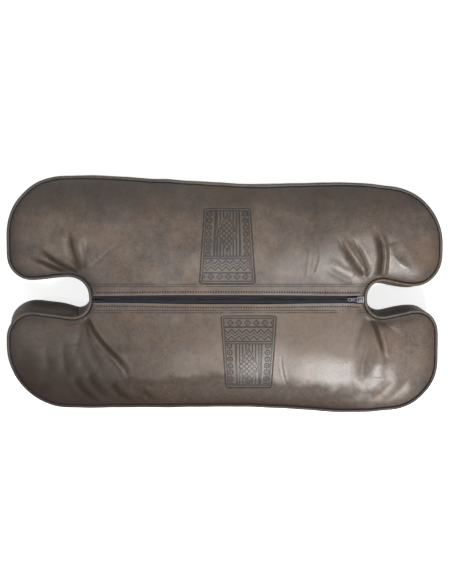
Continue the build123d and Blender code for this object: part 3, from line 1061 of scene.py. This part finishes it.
def tooled_panels(x, y):
    """Depth of the tooling, and where its ground lies, from 0 to 1."""
    rear = y > 0.0
    across = (x - PANEL_MIDDLE_REAR) * rear + (PANEL_MIDDLE_FRONT - x) * (1 - rear)
    inland = abs(y) - PANEL_START
    tall = 109.1 + 4.6 * rear
    half = PANEL_HALF - PANEL_TAPER * (inland / tall)
    corner_across = (CORNER - half + abs(across)).most(0.0)
    corner_along = (CORNER - inland.least(tall - inland)).most(0.0)
    edge = CORNER - reach_of(corner_across, corner_along)
    ground = edge.rise(-0.8, 0.6)
    frame_lines = line(edge, 1.5).most(line(edge - 4.1, 0.9) * 0.85)
    rails = lines((inland - 17.0, 1.1), (inland - 38.5, 1.1), (inland - 42.0, 0.8))
    wave = inland - abs(repeated(across, 11.0))
    zigzag = lines((wave - 20.5, 1.1), (wave - 25.5, 0.7), (wave - 30.5, 1.1))
    lozenge_reach = abs(repeated(across, 13.0)) + abs(inland - 11.0)
    lozenges = lines((lozenge_reach - 4.4, 1.0), (lozenge_reach, 1.3)) * (inland < 16.4)
    side_rail = line(abs(across) - half * 0.50, 1.2)
    bead_reach = reach_of(abs(across) - half * 0.74, repeated(inland, 10.0))
    beads = lines((bead_reach - 3.4, 0.9), (bead_reach, 1.1)) * (abs(across) > half * 0.55)
    slopes = (repeated(slope, 7.6, 400) for slope in (across + inland, across - inland))
    medal = abs(across) * 1.9 + abs(inland - 77.0)
    lattice = lines(*((slope, 0.8) for slope in slopes)) * (medal < 25.0) + line(medal - 28.0, 1.5)
    comb = line(repeated(across, 4.8), 0.9) * (medal > 32.0)
    field = (lattice + comb) * (abs(across) < half * 0.46)
    upper_part = (side_rail + beads + field) * (inland > BORDER_TOP)
    figure = (rails + zigzag + lozenges + upper_part).least(1.0) * edge.rise(4.6, 5.0)
    return (figure + frame_lines).least(1.0) * ground, ground


print("tooling ready")

# %% [markdown]
# Where the leather is strained over the seam it is darker, partly rubbed dark and partly painted
# shade. Painted shade also darkens the rear edge and the left of the front half, the front edge is
# rubbed darkest, and a pale patch on the middle right is a painted sheen. The mesh carries how far
# each point lies from the seam, from the lip and how deep it is in a fold. Each mask below is 1 where
# its mark is full and has a ragged edge, because noise shifts the place where it rises or falls. All
# lengths are in millimetres from the zip's middle.

# %% Wear, painted shade and painted sheen of the zip side
zip_side = Finish("zip side leather", Specular_IOR_Level=0.4)
where, x, y = zip_side.spot()[:3]
ahead = 0 - y
leather, grain, speck = waxed_leather(zip_side, where)
seam = zip_side.attribute("seam")
fold = zip_side.attribute("fold")
lip = zip_side.attribute("lip")
patchiness = zip_side.clouds(where, 34, 4, 0.65)
fine_patchiness = zip_side.clouds(where, 130, 4, 0.7)
# Darker along the seam: partly rubbed dark, partly painted shade, weaker toward the lit right.
seam_rub_and_shade = (seam + patchiness * 24 - 12).fall(2.0, 30.0) * (0.82 - (x + patchiness * 60).rise(60.0, 240.0) * 0.40)
# Painted shade along the rear edge, which faces away from the window.
rear_shade = (y + patchiness * 40 - 20).rise(92.0, 160.0) * 0.72
# Painted shade over the left of the front half, far from the window.
left_shade = (x + patchiness * 120).fall(-200.0, 20.0) * (y + patchiness * 30).fall(-10.0, 40.0) * 0.52
lower_left = (ahead + patchiness * 60 - 30).rise(46.0, 116.0) * (x + patchiness * 120).fall(-150.0, 60.0)
front_band = (ahead - x.most(0.0) * 0.09 + (patchiness - 0.5) * 38).rise(104.0, 126.0)
front_band = front_band * (x + patchiness * 80).fall(200.0, 300.0)
# A pale patch on the middle right of the front half: a painted sheen that carries the window's highlight
# toward the zip.
painted_sheen = (x + patchiness * 100).rise(-90.0, 110.0) * (x + patchiness * 40).fall(200.0, 260.0)
painted_sheen = painted_sheen * (ahead + patchiness * 30).rise(18.0, 44.0) * (ahead + patchiness * 20).fall(96.0, 130.0)
flecks = (zip_side.clouds(where, 300, 4, 0.75) * 0.6 + fine_patchiness * 0.4).rise(0.42, 0.64) * front_band
flecks = flecks * (x + patchiness * 60).rise(-160.0, -60.0) * (seam + fine_patchiness * 16).rise(10.0, 22.0)
print("wear of the zip side ready")

# %% [markdown]
# Over the wear and the painted light come the marks: two pressed lines beside each lip, the tooling,
# a painted highlight along the lip's fold, and painted shade with a shallow dent at each stitch.
# Painted shade also darkens the folds' valleys and the crease along the seam. Each mark is a coat of
# colour, a relief, or both.

# %% Marks and finish of the zip side
INK = (0.012, 0.013, 0.012)
FLECK = (0.180, 0.084, 0.032)
LIP_HIGHLIGHT = (0.24, 0.185, 0.145)
STITCH_HOLE_SHADE = (0.012, 0.007, 0.005)
SEAM_CREASE_SHADE = (0.008, 0.007, 0.006)

pressed = line(abs(y - 21.6) - 1.6, 0.8) * (y > 0.0) + line(abs(y + 17.9) - 1.7, 0.8) * (y < 0.0)
pressed = pressed * zip_side.clouds(where, 26, 2, 0.5).rise(0.3, 0.45)
tooling, ground = tooled_panels(x, y)
# A painted highlight on the lip's rolled fold.
lip_highlight_mask = lip.fall(0.2, 1.8) * (abs(y) < 14.0)
between_stitches = repeated(x, STITCH_PITCH, 100.5 * STITCH_PITCH - STITCHED[0])
# Painted shade, and a shallow dent in the relief, at each stitch.
hole_shade_mask = line(lip - STITCH_INSET, 1.5) * line(between_stitches, 1.1) * (abs(x - 5) < 197.0)
colour = zip_side.layers(
    leather,
    # painted sheen on the middle right
    (PALE, painted_sheen * (fine_patchiness + 0.12)),
    # painted shade along the seam, the rear edge and the left side, with some rubbing at the seam
    (DARK, seam_rub_and_shade.most(rear_shade).most(left_shade)),
    (BURNISH_AND_CREASE_SHADE, lower_left.most(front_band) * (1 - fine_patchiness.rise(0.40, 0.78) * 0.14)),
    (FLECK, flecks * 0.24),
    # painted shade in the folds' valleys
    (BURNISH_AND_CREASE_SHADE, ((fold - 0.5) * 0.5).most(0.0).least(0.88)),
    (SLATE, ground * 0.3),
    (INK, tooling * 0.8),
    (DARK, pressed * 0.75),
    # painted highlight along the lip's fold
    (LIP_HIGHLIGHT, lip_highlight_mask * 0.5),
    # painted shade at each stitch
    (STITCH_HOLE_SHADE, hole_shade_mask * 0.9),
    # painted shade in the crease between the leather and the welt
    (SEAM_CREASE_SHADE, seam.fall(2.9, 4.3) * 0.96),
)
matt = seam_rub_and_shade * 0.10 + lower_left * 0.14 + front_band * 0.20
dull_rear = (y + patchiness * 30 - 15).rise(-50.0, 20.0) * 0.09 * (x + patchiness * 40).fall(120.0, 200.0)
dull_by_zip = (y > 0.0) * (y + patchiness * 24 + x.most(100.0) * 0.22).fall(64.0, 92.0) * 0.14
zip_side.feed(
    Base_Color=colour,
    Roughness=0.32 + speck * 0.08 + (fold * 0.1).least(0.3) + matt + dull_rear.most(dull_by_zip),
    Normal=zip_side.bump(grain - tooling * 1.1 - pressed * 0.45 - hole_shade_mask * 0.3, 0.9),
)
zip_side.on("leather_rear", "leather_front")
print("zip side nodes:", len(zip_side.tree.nodes))

# %% [markdown]
# The wall and the seat side are cut from the same hide, and lie away from hands: greener, duller and
# less marked. Painted shade darkens the wall in the notches and in the crease along each welt. The
# welt is darker, most of all toward the front.

# %% Finish of the wall, the seat side and the welts
WALL_TONES = (0.075, 0.060, 0.049), (0.180, 0.149, 0.121), (0.27, 0.225, 0.187)
NOTCH_SHADE = (0.034, 0.027, 0.021)
WELT_TONES = (0.032, 0.028, 0.022), (0.080, 0.069, 0.056), (0.14, 0.124, 0.10)
MID_HEIGHT = 58.0

wall = Finish("wall leather", Specular_IOR_Level=0.2)
where, x, y, z = wall.spot()
leather, grain, speck = waxed_leather(wall, where, *WALL_TONES)
# Painted shade in the crease where the wall meets each welt.
welt_crease_shade = (44.0 - abs(z - MID_HEIGHT)).fall(1.5, 5.5)
wall.feed(
    Base_Color=wall.layers(
        leather,
        (NOTCH_SHADE, abs(y).fall(24.0, 62.0) * 0.5),
        ((0.010, 0.009, 0.007), welt_crease_shade * 0.9),
    ),
    Roughness=0.52 + speck * 0.16,
    Normal=wall.bump(grain, 0.8),
)
wall.on("leather_seat", *(f"leather_{node}" for node in STRIPS))

piping = Finish("welt leather", Specular_IOR_Level=0.35)
where, x, y = piping.spot()[:3]
leather, grain, speck = waxed_leather(piping, where, *WELT_TONES)
piping.feed(
    Base_Color=piping.blend(leather, (0.020, 0.017, 0.013), (0 - y).rise(30.0, 140.0) * 0.8),
    Roughness=0.38 + speck * 0.2,
    Normal=piping.bump(grain, 0.9),
)
piping.on("welt_zip_side", "welt_seat_side")
print("wall and welts done")

# %% [markdown]
# The zip is black: woven tapes, nylon coils with a soft blue shine, waxed thread, and a slider of
# plated metal that is rubbed a little bright in fine patches.

# %% Finish of the zip
woven = Finish("zip tape", Specular_IOR_Level=0.3, Roughness=0.7)
x, y = woven.spot()[1:3]
rib = abs(repeated(x, 1.0, 500)) * 2
cord_rib = abs(repeated(y, 1.3, 500)) * 1.5
woven.feed(
    Base_Color=woven.blend((0.008, 0.008, 0.010), (0.026, 0.027, 0.034), rib * cord_rib),
    Normal=woven.bump(rib * 0.1 + cord_rib * 0.16, 0.8),
)
woven.on("tape_rear", "tape_front")

nylon = Finish("zip coil", Roughness=0.34, Specular_IOR_Level=0.55)
shine = nylon.clouds(nylon.where(), 60, 3, 0.6).rise(0.35, 0.65)
nylon.feed(Base_Color=nylon.blend((0.012, 0.013, 0.018), (0.05, 0.053, 0.066), shine))
nylon.on("chain_rear", "chain_front")

thread = Finish("thread", Specular_IOR_Level=0.3)
where = thread.where()
twist = thread.clouds(where, 300, 2, 0.5)
thread.feed(
    Base_Color=thread.blend((0.012, 0.008, 0.006), (0.032, 0.022, 0.017), twist),
    Roughness=0.55 + 0.2 * thread.clouds(where, 200, 2, 0.5),
)
thread.on("stitches_rear", "stitches_front")


def plated(node, name, low, high):
    """Puts metal between two greys, worn in fine patches, on a node of the frame."""
    metal = Finish(name, Metallic=1.0)
    where = metal.where()
    worn = metal.clouds(where, 700, 3, 0.6)
    metal.feed(
        Base_Color=metal.blend(low, high, worn.rise(0.35, 0.65)),
        Roughness=0.28 + worn * 0.25,
        Normal=metal.bump(metal.clouds(where, 1800, 2, 0.5) * 0.03, 0.6),
    )
    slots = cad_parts[node].data.materials
    slots.clear()
    slots.append(metal.material)


plated("zip_slider", "slider metal", (0.050, 0.051, 0.055), (0.150, 0.151, 0.156))
plated("pull_tab", "pull tab metal", (0.030, 0.031, 0.035), (0.085, 0.087, 0.095))
print("zip done")

# %% [markdown]
# Inside lies a case of striped cotton ticking with loose stuffing in it. Nobody sees them while the
# zip is shut, but they are finished like the rest.

# %% Finish of the insert
CREAM = (0.74, 0.70, 0.61)
SHADED_CREAM = (0.62, 0.58, 0.50)
STRIPE_BLUE = (0.12, 0.15, 0.22)

ticking = Finish("cotton ticking", Roughness=0.85, Specular_IOR_Level=0.2)
where, x, y = ticking.spot()[:3]
# The stripes are the ticking's pattern; the broad dark one is set right under the zip's gap, where it
# stands in as painted shade.
row = (y + 515.5) % 22.0
stripes_and_gap_shade = lines((row - 11.0, 7.0), (row - 1.5, 0.8))
cotton = ticking.blend(CREAM, SHADED_CREAM, ticking.clouds(where, 30, 3, 0.6))
weave = abs(repeated(x, 1.0, 500)) + abs(repeated(y, 1.0, 500))
ticking.feed(
    Base_Color=ticking.blend(cotton, STRIPE_BLUE, stripes_and_gap_shade * 0.8),
    Normal=ticking.bump(weave * 0.15, 0.7),
)
ticking.on("insert_cover")

stuffing = Finish("cotton stuffing", Roughness=0.95, Specular_IOR_Level=0.1)
tuft = stuffing.clouds(stuffing.where(), 60, 5, 0.7)
stuffing.feed(
    Base_Color=stuffing.blend((0.60, 0.55, 0.46), (0.84, 0.81, 0.74), tuft),
    Normal=stuffing.bump(tuft * 3.0, 0.9),
)
stuffing.on("insert_stuffing")
print("insert done")

# %% [markdown]
# The cushion was photographed from almost straight above on white. A small window above its front
# right gives the broad sheen, a weaker one on the left a faint second, and a wide lamp far behind
# lights the rear wall. The floor and the sky look white, but light the scene less than they show.

# %% Floor, surroundings and lamps
FLOOR_HALF = 30.0
FLOOR_WHITE = (0.86, 0.86, 0.86, 1)


def seen(finish):
    """1 for rays from the camera, a little less for those that gloss and glass send on, else 0."""
    kinds = finish.node("ShaderNodeLightPath").output.node.outputs
    rays = "Is Camera Ray", "Is Glossy Ray", "Is Transmission Ray"
    camera_ray, glossy_ray, glass_ray = (Socket(finish, kinds[ray]) for ray in rays)
    return camera_ray.most(glossy_ray.most(glass_ray) * 0.9)


plain = bmesh.new()
bmesh.ops.create_grid(plain, x_segments=1, y_segments=1, size=FLOOR_HALF)
floor = in_scene("floor", mesh_from(plain, "floor"))
pale = Finish(
    "pale floor", Roughness=0.9, Specular_IOR_Level=0.1, Base_Color=FLOOR_WHITE, Emission_Strength=1.0
)
pale.feed(Emission_Color=seen(pale) * 0.80)
floor.data.materials.append(pale.material)

sky = bpy.data.worlds.new("sky")
bpy.context.scene.world = sky
light = Finish("sky", sky, "Background", Strength=1.0)
light.feed(Color=seen(light) * 0.80 + 0.20)


def softbox(name, at, aim, width, height, power):
    lamp = bpy.data.lights.new(name, "AREA")
    lamp.shape = "RECTANGLE"
    lamp.size, lamp.size_y = width, height
    lamp.energy = power
    thing = in_scene(name, lamp)
    thing.location = at
    thing.rotation_euler = (Vector(aim) - Vector(at)).to_track_quat("-Z", "Y").to_euler()


softbox("window", (0.28, -0.44, 1.05), (0.12, -0.08, 0.1), 0.22, 0.12, 11.0)
softbox("left window", (-0.56, 0, 1.1), (-0.25, 0, 0.1), 0.10, 0.40, 0.7)
softbox("rear fill", (-0.5, 1.9, 1.0), (0, 0, 0.05), 1.4, 0.9, 9)
print("lamps ready")

# %% [markdown]
# The camera stands two metres up, a little behind the cushion, so that the rear wall shows as a thin
# edge. Its lens is found from the scale: 1.5 mm of the welt's level to each pixel of a picture 584
# pixels tall.

# %% The camera
VIEW_DISTANCE = 2.1
VIEW_TILT = math.radians(4.6)
AIM = Vector((0.002, 0.004, ZIP_WELT_Z))
SENSOR = 36
PICTURE_HEIGHT = 584
PIXEL = 1.5 * MM

camera_data = bpy.data.cameras.new("camera")
camera = in_scene("camera", camera_data)
camera.location = AIM + VIEW_DISTANCE * Vector((0, math.sin(VIEW_TILT), math.cos(VIEW_TILT)))
camera.rotation_euler = (-VIEW_TILT, 0, 0)
camera_data.sensor_width = SENSOR
camera_data.lens = SENSOR * VIEW_DISTANCE / (PICTURE_HEIGHT * PIXEL)
bpy.context.scene.camera = camera
bpy.context.scene.view_settings.view_transform = "Standard"
print("lens", round(camera_data.lens, 1), "mm")
